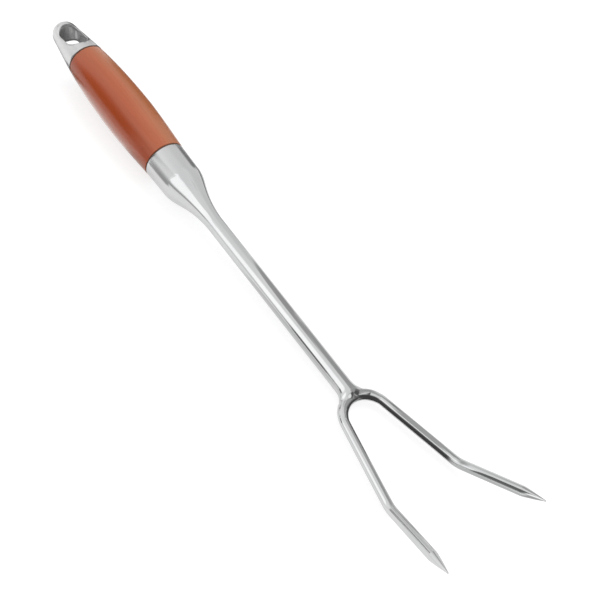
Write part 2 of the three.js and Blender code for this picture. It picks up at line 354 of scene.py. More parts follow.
def rounded(before, corner, after, size):
    """The corner between two sides of an outline, rounded over this size."""
    before, corner, after = (np.array(point, float) for point in (before, corner, after))
    start = corner + size * (before - corner) / np.linalg.norm(before - corner)
    end = corner + size * (after - corner) / np.linalg.norm(after - corner)
    return curve((start, corner, end), EDGE_STEPS)


def faces_between(this, other, sides):
    """Faces between two rings of points that start at these numbers."""
    steps = [(k, (k + 1) % sides) for k in range(sides)]
    return [(this + k, this + n, other + n, other + k) for k, n in steps]


def turn(outline):
    """Points and faces of a closed outline turned about the X axis."""
    turns = np.linspace(0, 2 * math.pi, TURNED_SIDES, endpoint=False)
    points = [(x, r * math.cos(t), r * math.sin(t)) for x, r in outline for t in turns]
    faces = []
    count = len(outline)
    for ring in range(count):
        this, other = ring * TURNED_SIDES, (ring + 1) % count * TURNED_SIDES
        faces += faces_between(this, other, TURNED_SIDES)
    return points, faces


# %% [markdown]
# ### Grip
#
# The grip is a turned barrel, fullest ahead of its middle, with both ends broken by hand so that
# they don't chip. It is bored through for the stud, with a wider socket for the cap's spigot.

# %% Grip
CAP_LENGTH = 0.037
CAP_JOINT_RADIUS = 0.0132
SPIGOT_LENGTH = 0.014
SPIGOT_END = CAP_LENGTH + SPIGOT_LENGTH
SPIGOT_RADIUS = 0.007
TANG_RADIUS = 0.003
FIT = 0.0003
JOINT = 0.001
GRIP_LENGTH = 0.098
GRIP_START = CAP_LENGTH + JOINT
GRIP_END = GRIP_START + GRIP_LENGTH
GRIP_FRONT_RADIUS = 0.0143
GRIP_EDGE = 0.0005
TO_BELLY = 0.057
REAR_SWEEP = 0.025
FRONT_SWEEP = 0.030
FLANK_STEPS = 40

rear = (GRIP_START, CAP_JOINT_RADIUS)
front = (GRIP_END, GRIP_FRONT_RADIUS)
belly = (GRIP_START + TO_BELLY, GRIP_BELLY_RADIUS)
rear_sweep = (GRIP_START + REAR_SWEEP, GRIP_BELLY_RADIUS)
front_sweep = (GRIP_END - FRONT_SWEEP, GRIP_BELLY_RADIUS)
rear_flank = curve((rear, rear_sweep, belly), FLANK_STEPS)
front_flank = curve((belly, front_sweep, front), FLANK_STEPS)
grip_outline = [
    (GRIP_START, SPIGOT_RADIUS + FIT),
    *rounded((GRIP_START, 0), rear, rear_flank[1], GRIP_EDGE),
    *rear_flank[1:],
    *front_flank[1:-1],
    *rounded(front_flank[-2], front, (GRIP_END, 0), GRIP_EDGE),
    (GRIP_END, TANG_RADIUS + FIT),
    (SPIGOT_END + FIT, TANG_RADIUS + FIT),
    (SPIGOT_END + FIT, SPIGOT_RADIUS + FIT),
]
make_piece(
    "turned_grip", *turn(grip_outline),
    handle_place, red_wood, "red_wood", "handle_grip")

# %% [markdown]
# ### Seam washers
#
# At both ends of the wood a thin dark ring keeps steel and wood apart. It fills the joint and
# stays just under the surface, so what shows is a fine line with a shadow in it.

# %% Seam washers
WASHER_PLAY = 0.00004
REAR_WASHER_RADIUS = 0.0131
FRONT_WASHER_RADIUS = 0.0139


def make_washer(name, start, edge, bore_radius, node):
    """A ring that fills one joint of the handle."""
    low, high = start + WASHER_PLAY, start + JOINT - WASHER_PLAY
    outline = [(low, bore_radius), (low, edge), (high, edge), (high, bore_radius)]
    make_piece(name, *turn(outline), handle_place, dark_fibre, "dark_fibre", node)


make_washer(
    "rear_dark_ring", CAP_LENGTH, REAR_WASHER_RADIUS, SPIGOT_RADIUS + FIT, "rear_seam_washer")
make_washer(
    "front_dark_ring", GRIP_END, FRONT_WASHER_RADIUS, TANG_RADIUS + FIT, "front_seam_washer")

# %% [markdown]
# ### Bolster
#
# The bolster is drawn from one sheet: a nearly straight band, a rounded shoulder and a long flare
# that runs out into a short neck of the shaft's size. Its inside follows the outside at the
# thickness of the sheet.

# %% Bolster
BOLSTER_START = GRIP_END + JOINT
MOUTH_RADIUS = 0.0142
MOUTH_EDGE = 0.0004
FLARE_LENGTH = 0.039
FLARE_END = BAND_END + FLARE_LENGTH
NECK_LENGTH = 0.003
NECK_END = FLARE_END + NECK_LENGTH
SHOULDER_PULL = 0.011
NECK_PULL = 0.022
NECK_PULL_RISE = 0.0008
BAND_STEPS = 12
FLARE_STEPS = 72
WALL = 0.0012

mouth = (BOLSTER_START, MOUTH_RADIUS)
band_end = (BAND_END, BAND_END_RADIUS)
shoulder_pull = (BAND_END + SHOULDER_PULL, BAND_END_RADIUS)
neck_pull = (FLARE_END - NECK_PULL, SHAFT_RADIUS + NECK_PULL_RISE)
band = curve((mouth, band_end), BAND_STEPS)
flare = curve((band_end, shoulder_pull, neck_pull, (FLARE_END, SHAFT_RADIUS)), FLARE_STEPS)
bolster_outside = [*band[1:], *flare[1:], (NECK_END, SHAFT_RADIUS)]
bolster_inside = [(x, r - WALL) for x, r in reversed(bolster_outside)]
bolster_outline = [
    *rounded((BOLSTER_START, 0), mouth, band_end, MOUTH_EDGE),
    *bolster_outside,
    *bolster_inside,
    (BOLSTER_START, MOUTH_RADIUS - WALL),
]
make_piece(
    "drawn_bolster", *turn(bolster_outline),
    handle_place, polished_steel, "polished_steel", "bolster")

# %% [markdown]
# ### Shaft
#
# The shaft is a drawn tube. Its weld to the bolster is ground flush and polished over, so the two
# meshes meet with the same radius and no gap. At the other end the tube stops short of the rod,
# where the skin of the weld takes over.

# %% Shaft
SHAFT_STEPS = 60
WELD_ZONE = 0.012
SHAFT_END = CROTCH - WELD_ZONE

outer = curve(((NECK_END, SHAFT_RADIUS), (SHAFT_END, SHAFT_RADIUS)), SHAFT_STEPS)
bore = [(x, SHAFT_RADIUS - WALL) for x, r in reversed(outer)]
make_piece(
    "drawn_shaft", *turn([*outer, *bore]),
    handle_place, polished_steel, "polished_steel", "shaft_tube")

# %% [markdown]
# ## Fork rod
#
# One round rod makes both tines: bent to a U at the crotch, up at both elbows, and ground to a
# point at each end. Its middle line comes first, from the corners where the straights would meet
# and the radius of each bend, as a bender would set them out. Left and right are those of the hand
# that holds the fork.

# %% Middle line of the rod
BEND_RADIUS = 0.0145
SPLAY = math.radians(11.9)
LEG_LENGTH = 0.0545
TINE_LENGTH = 0.0557
TINE_RISE = math.radians(28.1)
ELBOW_RADIUS = 0.015
BEND_STEPS = 24


def bend(before, corner, after, radius):
    """Points of the round bend between two straights that meet at a corner."""
    back = (before - corner).normalized()
    ahead = (after - corner).normalized()
    half = back.angle(ahead) / 2
    start = corner + back * (radius / math.tan(half))
    centre = corner + (back + ahead).normalized() * (radius / math.sin(half))
    axis = ahead.cross(back)
    angles = np.linspace(0, math.pi - 2 * half, BEND_STEPS + 1)
    return [centre + Matrix.Rotation(angle, 3, axis) @ (start - centre) for angle in angles]


def tine(side):
    """Elbow and end of one tine, on the side of this sign."""
    along = Vector((math.cos(SPLAY), side * math.sin(SPLAY), 0))
    leg_start = Vector((
        BEND_RADIUS * (1 - math.sin(SPLAY)), side * BEND_RADIUS * math.cos(SPLAY), 0))
    elbow = leg_start + along * LEG_LENGTH
    climb = along * math.cos(TINE_RISE) + Vector((0, 0, math.sin(TINE_RISE)))
    return elbow, elbow + climb * TINE_LENGTH


right_elbow, right_tip = tine(-1)
left_elbow, left_tip = tine(1)
legs_meet = Vector((
    BEND_RADIUS * (1 - math.sin(SPLAY) - math.cos(SPLAY) / math.tan(SPLAY)), 0, 0))
right_bend = bend(right_tip, right_elbow, legs_meet, ELBOW_RADIUS)
crotch_bend = bend(right_elbow, legs_meet, left_elbow, BEND_RADIUS)
left_bend = bend(legs_meet, left_elbow, left_tip, ELBOW_RADIUS)
print("tip to tip:", round(1000 * (left_tip - right_tip).length, 1), "mm")

# %% [markdown]
# A curve object with a bevel would give the rod but not its ground points, so the rings are
# written here too. Each ring is turned along with the rod's direction, which keeps the surface
# from twisting.

# %% Helper that draws a rod
ROD_SIDES = 40


def draw_rod(middles, radii):
    """Points and faces of a round rod along these points, with this radius at each of them."""
    ways = [(b - a).normalized() for a, b in zip(middles, middles[1:])]
    ways = [ways[0], *((a + b).normalized() for a, b in zip(ways, ways[1:])), ways[-1]]
    across = ways[0].orthogonal().normalized()
    points, faces = [], []
    for k, (middle, way, radius) in enumerate(zip(middles, ways, radii)):
        if k:
            across = ways[k - 1].rotation_difference(way) @ across
        other = way.cross(across)
        for t in np.linspace(0, 2 * math.pi, ROD_SIDES, endpoint=False):
            points.append(middle + radius * (math.cos(t) * across + math.sin(t) * other))
    for ring in range(len(middles) - 1):
        faces += faces_between(ring * ROD_SIDES, (ring + 1) * ROD_SIDES, ROD_SIDES)
    last = (len(middles) - 1) * ROD_SIDES
    faces.append(tuple(reversed(range(ROD_SIDES))))
    faces.append(tuple(range(last, last + ROD_SIDES)))
    return points, faces


# %% [markdown]
# The points are ground: a rounded shoulder runs into a slim flank, and the tip is left a little
# blunt, so that it doesn't bend. The outline of one point is written once and laid on both ends.

# %% Rod with its points
POINT_LENGTH = 0.014
POINT_SHOULDER = (0.006, 0.00215)
POINT_TIP_RADIUS = 0.0004
POINT_STEPS = 24
TIP_ROUNDING = 0.95 * POINT_TIP_RADIUS
SHOULDER_EDGE = 0.0002

flank_end = (POINT_LENGTH - POINT_TIP_RADIUS, POINT_TIP_RADIUS)
flank = curve(((0, ROD_RADIUS), POINT_SHOULDER, flank_end), POINT_STEPS)
blunt_tip = rounded(
    flank[-2], (POINT_LENGTH, POINT_TIP_RADIUS), (POINT_LENGTH, 0), TIP_ROUNDING)
ground = [(-SHOULDER_EDGE, ROD_RADIUS), *flank, *blunt_tip[1:]]


def ground_point(tip, towards):
    """Middle points and radii of one ground point, from its shoulder to its tip."""
    way = (tip - towards).normalized()
    root = tip - way * POINT_LENGTH
    return [root + way * float(x) for x, r in ground], [float(r) for x, r in ground]


right_line, right_radii = ground_point(right_tip, right_bend[0])
left_line, left_radii = ground_point(left_tip, left_bend[-1])
body = [*right_bend, *crotch_bend, *left_bend]
rod_line = [*reversed(right_line), *body, *left_line]
rod_radii = [*reversed(right_radii), *[ROD_RADIUS] * len(body), *left_radii]
make_piece(
    "bent_fork_rod", *draw_rod(rod_line, rod_radii),
    rod_place, polished_steel, "polished_steel", "fork_rod")

# %% [markdown]
# ## Shapes from distances
#
# The cap and the crotch aren't plain turned or drawn shapes: the cap's slot has soft rims, and at
# the crotch the weld runs smoothly from the tube onto the rod. A Boolean with a Bevel leaves
# rough corners on such curved meetings. Here each shape is a formula instead, which says how far
# a point is from the surface. Two distances are joined or cut with a soft edge.

# %% Soft joins and cuts
def soft_step(value, low, high):
    """From 0 to 1 as the value goes from low to high, without a corner."""
    share = np.clip((value - low) / (high - low), 0, 1)
    return share * share * (3 - 2 * share)


def soft_join(a, b, soft):
    """The union of two distances, with a fillet where they meet."""
    overlap = np.maximum(soft - np.abs(a - b), 0) / soft
    return np.minimum(a, b) - overlap ** 2 * soft / 4


def soft_cut(a, b, soft):
    """What two distances have in common, with a rounded edge where they meet."""
    return -soft_join(-a, -b, soft)


# %% [markdown]
# A net is then laid over the places where the distance is zero. Space is cut into small cells, and
# each cell that the surface crosses gets one point. The points are pulled onto the surface in a
# few short steps, and cells that share a crossed edge are joined by a face.

# %% A net over the surface
NET_PULLS = 8
PROBE = 0.02
LEAST_SLOPE = 0.1
LONGEST_PULL = 0.5
TINY = 1e-12


def pull(distance, points, step):
    """The way from the surface to each point, as far as half a step."""
    value = distance(points)
    small = PROBE * step
    rises = [distance(points + small * way) - distance(points - small * way) for way in np.eye(3)]
    slope = np.stack(rises, -1) / (2 * small)
    way = slope * (value / np.maximum((slope ** 2).sum(-1), LEAST_SLOPE))[..., None]
    length = np.linalg.norm(way, axis=-1, keepdims=True)
    return way * np.minimum(1, LONGEST_PULL * step / np.maximum(length, TINY))


def lay_net(distance, low, high, step):
    """Points and faces of the surface where the distance is zero, inside a box."""
    axes = [np.arange(a, b + step, step) for a, b in zip(low, high)]
    grid = np.stack(np.meshgrid(*axes, indexing="ij"), -1)
    inside = distance(grid) < 0
    a, b, c = (count - 1 for count in inside.shape)
    corners = sum(
        inside[i:a + i, j:b + j, k:c + k].astype(int) for i, j, k in product((0, 1), repeat=3))
    crossed = (corners > 0) & (corners < 8)
    number = np.full(crossed.shape, -1)
    number[crossed] = np.arange(crossed.sum())
    points = grid[:-1, :-1, :-1][crossed] + step / 2
    for _ in range(NET_PULLS):
        points = points - pull(distance, points, step)
    faces = []
    for axis in range(3):
        first, second = (axis + 1) % 3, (axis + 2) % 3
        count = inside.shape[axis]
        here = np.take(inside, range(count - 1), axis)
        there = np.take(inside, range(1, count), axis)
        one, two = np.eye(3, dtype=int)[first], np.eye(3, dtype=int)[second]
        for edge in np.argwhere(here != there):
            cells = (edge, edge - one, edge - one - two, edge - two)
            face = [int(number[tuple(cell)]) for cell in cells]
            faces.append(face if here[tuple(edge)] else face[::-1])
    return points, faces


# %% [markdown]
# ### End cap
#
# The cap is a ball and a cone that touch along a circle, cut flat at the joint. A long slot goes
# through it to hang the fork on a hook, and its rims are rounded so that they don't scratch. The
# spigot behind it is hidden in the wood, with a socket for the stud.

# %% End cap
DOME_RADIUS = 0.009
SLOT_START = 0.008
SLOT_LENGTH = 0.022
SLOT_END = SLOT_START + SLOT_LENGTH
SLOT_RADIUS = 0.0068
RIM = 0.0026
JOINT_EDGE = 0.0006
SPIGOT_START = 0.03
SOCKET_DEPTH = 0.016
SOCKET_START = SPIGOT_END - SOCKET_DEPTH - FIT
CAP_NET = 0.0004
CAP_MARGIN = 3 * CAP_NET

to_joint = Vector((CAP_LENGTH - DOME_RADIUS, CAP_JOINT_RADIUS))
cone_angle = math.atan2(to_joint.y, to_joint.x) - math.asin(DOME_RADIUS / to_joint.length)


def cap_distance(p):
    """Distance to the cap's surface, below zero inside it."""
    x, across = p[..., 0], np.hypot(p[..., 1], p[..., 2])
    ahead = x - DOME_RADIUS
    side = across * math.cos(cone_angle) - ahead * math.sin(cone_angle)
    on_cone = ahead * math.cos(cone_angle) + across * math.sin(cone_angle) > 0
    shell = np.where(on_cone, side, np.hypot(ahead, across)) - DOME_RADIUS
    head = soft_cut(shell, x - CAP_LENGTH, JOINT_EDGE)
    spigot = np.maximum(across - SPIGOT_RADIUS, np.maximum(x - SPIGOT_END, SPIGOT_START - x))
    solid = np.minimum(head, spigot)
    middle = np.clip(x, SLOT_START + SLOT_RADIUS, SLOT_END - SLOT_RADIUS)
    slot = np.hypot(x - middle, p[..., 1]) - SLOT_RADIUS
    socket = np.maximum(across - TANG_RADIUS - FIT, SOCKET_START - x)
    return np.maximum(soft_cut(solid, -slot, RIM), -socket)


cap_side = CAP_JOINT_RADIUS + CAP_MARGIN
cap_low = (-CAP_MARGIN, -cap_side, -cap_side)
cap_high = (SPIGOT_END + CAP_MARGIN, cap_side, cap_side)
make_piece(
    "slotted_end_cap", *lay_net(cap_distance, cap_low, cap_high, CAP_NET),
    handle_place, satin_steel, "satin_steel", "end_cap")

# %% [markdown]
# ### Weld at the crotch
#
# The tube's end is closed to a round nose over the rod, and the weld fills the corners between
# them. All of it is ground and polished, so it shows as one soft skin. The skin is built up a
# little over the rod's bend, as weld metal is. It sits a hair above the tube at the joint and dips
# under both surfaces further out, so no edge shows.

# %% Distances at the crotch
NOSE_RUN = 0.011
NOSE_END = 0.0018


def rod_distance(p):
    """Distance to the rod's surface round the crotch."""
    x, y = p[..., 0], np.abs(p[..., 1])
    from_centre = np.hypot(x - BEND_RADIUS, y)
    start_x = BEND_RADIUS * (1 - math.sin(SPLAY))
    start_y = BEND_RADIUS * math.cos(SPLAY)
    along = (x - start_x) * math.cos(SPLAY) + (y - start_y) * math.sin(SPLAY)
    beside = (y - start_y) * math.cos(SPLAY) - (x - start_x) * math.sin(SPLAY)
    in_plan = np.where(along > 0, beside, from_centre - BEND_RADIUS)
    return np.hypot(in_plan, p[..., 2]) - ROD_RADIUS


def tube_distance(p):
    """Distance to the tube and its round nose."""
    x = p[..., 0] * math.cos(tilt) - p[..., 2] * math.sin(tilt)
    z = p[..., 0] * math.sin(tilt) + p[..., 2] * math.cos(tilt)
    past = np.maximum(x - (NOSE_END - NOSE_RUN), 0)
    squeezed = past * SHAFT_RADIUS / NOSE_RUN
    return np.sqrt(p[..., 1] ** 2 + z ** 2 + squeezed ** 2) - SHAFT_RADIUS


# %% Weld
WELD_FILLET = 0.007
INNER_FILLET = 0.0005
WELD_NET = 0.0003
WELD_REACH = 0.021
WELD_TOP = 0.008
DIP_START = 0.014
DIP_END = 0.0175
DIP = 0.00010
SKIN = 0.00002
BUILD_UP = 0.0004
BUILD_UP_FADE = (0.010, 0.0185)


def weld_distance(p):
    """Distance to the weld's skin."""
    out = np.linalg.norm(p, axis=-1)
    fade = np.clip((out - DIP_START) / (DIP_END - DIP_START), 0, 1)
    behind = 1 - soft_step(p[..., 0], -ROD_RADIUS, ROD_RADIUS)
    fillet = INNER_FILLET + (WELD_FILLET - INNER_FILLET) * behind
    build_up = BUILD_UP * (1 - soft_step(out, *BUILD_UP_FADE))
    skin = soft_join(tube_distance(p), rod_distance(p) - build_up, fillet)
    return np.maximum(skin - SKIN + (SKIN + DIP) * fade, out - WELD_REACH)


reach = WELD_REACH + 2 * WELD_NET
weld_high = (reach, reach, WELD_TOP)
make_piece(
    "polished_crotch_weld", *lay_net(weld_distance, (-reach,) * 3, weld_high, WELD_NET),
    rod_place, polished_steel, "polished_steel", "crotch_weld")

# %% [markdown]
# ## Hidden pieces
#
# The stud and the plug sit inside the handle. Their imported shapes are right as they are, so they
# stay and only take the finish of plain cut steel.

# %% Hidden pieces
for node in ("tang_rod", "bolster_plug"):
    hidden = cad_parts[node]
    for material_slot in hidden.material_slots:
        material_slot.material = plain_steel
    print(node, "keeps its packed shape")

# %% [markdown]
# ## Studio
#
# Polished steel shows its surroundings, so the surroundings are what is built here. The fork lies
# on a white table in a white room. What the steel mirrors stands round it: a tent, and cards near
# the fork that only reflections see, as a photographer keeps such cards out of the frame. In the
# studio, left and right are those of the camera.
#
# The table is plain and matt. A brighter lamp could make it white, but would wash the fork out, so
# the table glows a little instead. It still keeps the fork's soft shadow.

# %% Finish of the table
TABLE_TONE = 0.42
TABLE_ROUGHNESS = 0.9
GLOW_SEEN = 0.73
GLOW_MIRRORED = 0.56
GLOWS = {
    "Is Camera Ray": GLOW_SEEN,
    "Is Transmission Ray": GLOW_SEEN,
    "Is Glossy Ray": GLOW_MIRRORED,
}


def make_table_finish():
    """Matt white that glows by its own share for each kind of ray."""
    finish, shader = new_finish("white_table")
    tree = finish.node_tree
    path = tree.nodes.new("ShaderNodeLightPath")
    glow = None
    for ray, strength in GLOWS.items():
        share = tree.nodes.new("ShaderNodeMath")
        share.operation = "MULTIPLY_ADD"
        share.inputs[1].default_value = strength
        share.inputs[2].default_value = 0.0
        tree.links.new(path.outputs[ray], share.inputs[0])
        if glow:
            tree.links.new(glow, share.inputs[2])
        glow = share.outputs[0]
    tree.links.new(glow, shader.inputs["Emission Strength"])
    shader.inputs["Emission Color"].default_value = (1, 1, 1, 1)
    shader.inputs["Base Color"].default_value = (TABLE_TONE, TABLE_TONE, TABLE_TONE, 1)
    shader.inputs["Roughness"].default_value = TABLE_ROUGHNESS
    shader.inputs["Specular IOR Level"].default_value = 0.0
    return finish


# %% Table
TABLE_SIZE = 12.0
TABLE_DROP = 0.0002

half_table = TABLE_SIZE / 2
table_mesh = bpy.data.meshes.new("table")
corner_signs = ((-1, -1), (1, -1), (1, 1), (-1, 1))
table_corners = [(x * half_table, y * half_table, 0) for x, y in corner_signs]
table_mesh.from_pydata(table_corners, [], [(0, 1, 2, 3)])
table_mesh.materials.append(make_table_finish())
table = bpy.data.objects.new("table", table_mesh)
bpy.context.scene.collection.objects.link(table)
table.location.z = -TABLE_DROP
print("table of", TABLE_SIZE, "m")

# %% [markdown]
# The room is white all round. It lights the matt surfaces a little less than it shows to the
# camera, so that the wood keeps its depth.

# %% Room
ROOM_LIGHT = 0.75
world = bpy.data.worlds.new("white_room")
bpy.context.scene.world = world
world.use_nodes = True
room = world.node_tree
path = room.nodes.new("ShaderNodeLightPath")
level = room.nodes.new("ShaderNodeMapRange")
level.inputs["To Min"].default_value = 1.0
level.inputs["To Max"].default_value = ROOM_LIGHT
room.links.new(path.outputs["Is Diffuse Ray"], level.inputs["Value"])
room.links.new(level.outputs["Result"], room.nodes["Background"].inputs["Strength"])
room.nodes["Background"].inputs["Color"].default_value = (1, 1, 1, 1)
print("the room lights the fork at", ROOM_LIGHT)

# %% [markdown]
# ### What the steel mirrors
#
# A card is a grid of points, each with a tone and a cover. The cover fades a card out towards its
# edges, as a card out of focus does, so the bands on the steel have soft borders. One finish reads
# both values from the points, so it serves every card.

# %% Finish of the cards
def make_card_finish():
    """A glow whose tone and cover come from the card's own points."""
    finish = bpy.data.materials.new("studio_card")
    finish.use_nodes = True
    tree = finish.node_tree
    tree.nodes.clear()
    look = tree.nodes.new("ShaderNodeAttribute")
    look.attribute_name = "look"
    split = tree.nodes.new("ShaderNodeSeparateColor")
    glow = tree.nodes.new("ShaderNodeEmission")
    clear = tree.nodes.new("ShaderNodeBsdfTransparent")
    mix = tree.nodes.new("ShaderNodeMixShader")
    end = tree.nodes.new("ShaderNodeOutputMaterial")
    tree.links.new(look.outputs["Color"], split.inputs["Color"])
    tree.links.new(split.outputs["Red"], glow.inputs["Strength"])
    tree.links.new(split.outputs["Green"], mix.inputs["Fac"])
    tree.links.new(clear.outputs[0], mix.inputs[1])
    tree.links.new(glow.outputs[0], mix.inputs[2])
    tree.links.new(mix.outputs[0], end.inputs["Surface"])
    return finish


card_finish = make_card_finish()
print("card finish:", card_finish.name)


# %% Helpers for cards
def within(value, low, high, soft):
    """1 between low and high, fading to 0 over twice the softness at both."""
    risen = soft_step(value, low - soft, low + soft)
    return risen * (1 - soft_step(value, high - soft, high + soft))


def make_card(name, grid, tone, cover):
    """A card through a grid of points, seen by reflections alone."""
    rows, columns = grid.shape[:2]
    faces = [
        (k, k + 1, k + 1 + columns, k + columns)
        for row in range(rows - 1) for k in range(row * columns, (row + 1) * columns - 1)]
    mesh = bpy.data.meshes.new(name)
    mesh.from_pydata(grid.reshape(-1, 3).tolist(), [], faces)
    look = mesh.attributes.new("look", "FLOAT_COLOR", "POINT")
    tone, cover = (np.broadcast_to(value, (rows, columns)) for value in (tone, cover))
    colours = np.stack([tone, cover, np.zeros_like(tone), np.ones_like(tone)], -1)
    look.data.foreach_set("color", colours.astype(np.float32).ravel())
    mesh.materials.append(card_finish)
    card = bpy.data.objects.new(name, mesh)
    bpy.context.scene.collection.objects.link(card)
    card.visible_camera = False
    card.visible_diffuse = False
    card.visible_shadow = False
    print(name, "has", rows * columns, "points")


# %% [markdown]
# The tent is the far surrounding: a dome of cloth with a bright panel on the left, a dimmer wall on
# the right, a paler one behind, and a dark front where the photographer stands. Each panel is a
# patch of the dome between two turns and two rises, and a later panel covers an earlier one. A
# picture of a studio would do the same, but patches are easier to shift one at a time.

# %% Tent
TENT_RADIUS = 3.0
TENT_TONE = 0.88
TENT_FOOT = -2
# Each panel: from turn, to turn, from rise, to rise and softness in degrees, and its tone.
PANELS = {
    "wall on the right": (60, 172, -20, 55, 8, 0.76),
    "wall behind": (-174, -125, 15, 60, 6, 0.97),
    "front": (-58, 50, -20, 52, 8, 0.10),
    "panel on the left": (-130, -62, 17, 66, 4, 1.36),
    "gap under the panel": (-112, -76, 2, 13, 3, 0.42),
    "pale gap under the panel": (-123, -113, -2, 8, 3, 0.80),
    "grey gap behind": (-177, -159, 11, 24, 3, 0.25),
}

# one point for each degree
turns, rises = np.meshgrid(np.linspace(-180, 180, 361), np.linspace(TENT_FOOT, 90, 91 - TENT_FOOT))
tent_tone = np.full(turns.shape, TENT_TONE)
for from_turn, to_turn, from_rise, to_rise, soft, tone in PANELS.values():
    cover = within(turns, from_turn, to_turn, soft) * within(rises, from_rise, to_rise, soft)
    tent_tone += cover * (tone - tent_tone)
turns, rises = np.radians(turns), np.radians(rises)
flat = np.cos(rises)
tent = TENT_RADIUS * np.stack([flat * np.cos(turns), flat * np.sin(turns), np.sin(rises)], -1)
make_card("tent", tent, tent_tone, 1.0)

# %% [markdown]
# A tent alone shows every piece the same surroundings. In a studio, cards close to the object make
# one direction dark for one piece and pale for the next. Some stand beside the fork, along it, and
# some lie on the table. The bands could be painted on the steel instead, but then they would stay
# put where a reflection wanders.

# %% Helpers for cards round the fork
CARD_STEPS = 40
CARD_LEVEL = -0.0001


def lay_card(name, low, high, soft, tone):
    """A card on the table between two corners, fading out at its edges."""
    x = np.linspace(low[0] - soft, high[0] + soft, CARD_STEPS)
    y = np.linspace(low[1] - soft, high[1] + soft, CARD_STEPS)
    x, y = np.meshgrid(x, y)
    cover = within(x, low[0], high[0], soft) * within(y, low[1], high[1], soft)
    make_card(name, np.stack([x, y, np.full_like(x, CARD_LEVEL)], -1), tone, cover)


def stand_card(name, y, ends, heights, soft, tone):
    """A card that stands along the fork; its ends, foot and top fade over these softnesses."""
    soft_ends, soft_foot, soft_top = soft
    foot, top = heights
    x = np.linspace(ends[0] - soft_ends, ends[1] + soft_ends, CARD_STEPS)
    z = np.linspace(max(0.0, foot - soft_foot), top + soft_top, CARD_STEPS)
    x, z = np.meshgrid(x, z)
    cover = within(x, *ends, soft_ends) * (1 - soft_step(z, top - soft_top, top + soft_top))
    if foot:
        cover = cover * soft_step(z, foot - soft_foot, foot + soft_foot)
    make_card(name, np.stack([x, np.full_like(x, y), z], -1), tone, cover)


# %% Standing cards
# Each card: place across the fork, ends along it, foot and top, softness of ends, foot and top,
# and its tone.
STANDING_CARDS = {
    "grey_wall_by_the_shaft": (
        0.12, (-0.008, 0.088), (0.105, 0.30), (0.012, 0.025, 0.12), 0.38),
    "grey_wall_by_the_legs": (
        0.121, (0.092, 0.27), (0.052, 0.45), (0.012, 0.012, 0.15), 0.40),
    "grey_card_by_the_shaft": (
        0.035, (-0.006, 0.044), (0.012, 0.17), (0.006, 0.004, 0.09), 0.38),
    "low_card_by_the_shaft": (
        0.035, (0.044, 0.104), (0.012, 0.040), (0.006, 0.004, 0.008), 0.40),
    "low_card_by_the_crotch": (
        0.036, (0.118, 0.134), (0.012, 0.034), (0.006, 0.003, 0.006), 0.15),
    "low_card_by_the_grip": (
        0.115, (-0.27, -0.165), (0, 0.08), (0.015, 0, 0.035), 0.05),
    "low_card_by_the_band": (
        0.115, (-0.165, -0.112), (0, 0.05), (0.012, 0, 0.022), 0.22),
    "low_card_by_the_cone": (
        0.115, (-0.112, -0.05), (0, 0.012), (0.012, 0, 0.008), 0.28),
    "dark_card_by_the_grip": (
        -0.105, (-0.280, -0.152), (0.022, 0.12), (0.015, 0.015, 0.06), 0.03),
    "dark_card_by_the_band": (
        -0.105, (-0.147, -0.095), (0, 0.04), (0.010, 0, 0.035), 0.36),
    "pale_card_by_the_band": (
        -0.106, (-0.155, -0.108), (0.05, 0.17), (0.006, 0.02, 0.03), 0.92),
    "dark_card_near_the_crotch": (
        -0.09, (0.026, 0.068), (0.006, 0.040), (0.005, 0.006, 0.003), 0.13),
    "dark_card_right_of_the_cap": (
        0.04, (-0.290, -0.232), (0, 0.034), (0.008, 0, 0.010), 0.04),
    "dark_flag_over_the_rim": (
        0.0125, (-0.224, -0.209), (0.024, 0.040), (0.002, 0.002, 0.003), 0.04),
}
for name, card in STANDING_CARDS.items():
    stand_card(name, *card)

# %% Lying cards
# Each card: two opposite corners, softness and tone.
LYING_CARDS = {
    "flat_card_right_of_the_grip": ((-0.26, 0.05), (-0.145, 0.115), 0.008, 0.05),
    "flat_card_right_of_the_band": ((-0.145, 0.05), (-0.055, 0.115), 0.008, 0.28),
    "flat_card_left_of_the_band": ((-0.147, -0.105), (-0.10, -0.068), 0.010, 0.42),
    "white_card_left_of_the_grip": ((-0.190, -0.060), (-0.118, -0.012), 0.008, 1.5),
    "grey_card_left_of_the_shaft": ((0.005, -0.080), (0.098, -0.010), 0.010, 0.70),
    "grey_card_under_the_tine": ((0.168, -0.020), (0.25, 0.035), 0.008, 0.66),
    "dark_card_under_the_cap": ((-0.245, -0.013), (-0.190, 0.035), 0.004, 0.10),
    "dark_card_left_of_the_cap": ((-0.2145, -0.025), (-0.203, -0.0125), 0.002, 0.05),
    "grey_card_under_the_cap": ((-0.205, -0.040), (-0.193, -0.017), 0.004, 0.20),
}
for name, card in LYING_CARDS.items():
    lay_card(name, *card)

# %% [markdown]
# The rod is thin and bent, so its long dark and grey bands need cards that follow it closely. An
# upright flag hangs beside a stretch of the rod, and an arch bends over one. Both are a section
# carried along the rod's middle line. Two more flags hang over the weld, where the crotch and the
# nose meet. Left and right are the rod's here.

# %% Helpers for cards along the rod
ARCH_RADIUS = 0.018


def straight(start, end):
    """Points along a straight stretch."""
    return [start.lerp(end, share) for share in np.linspace(0, 1, CARD_STEPS)]


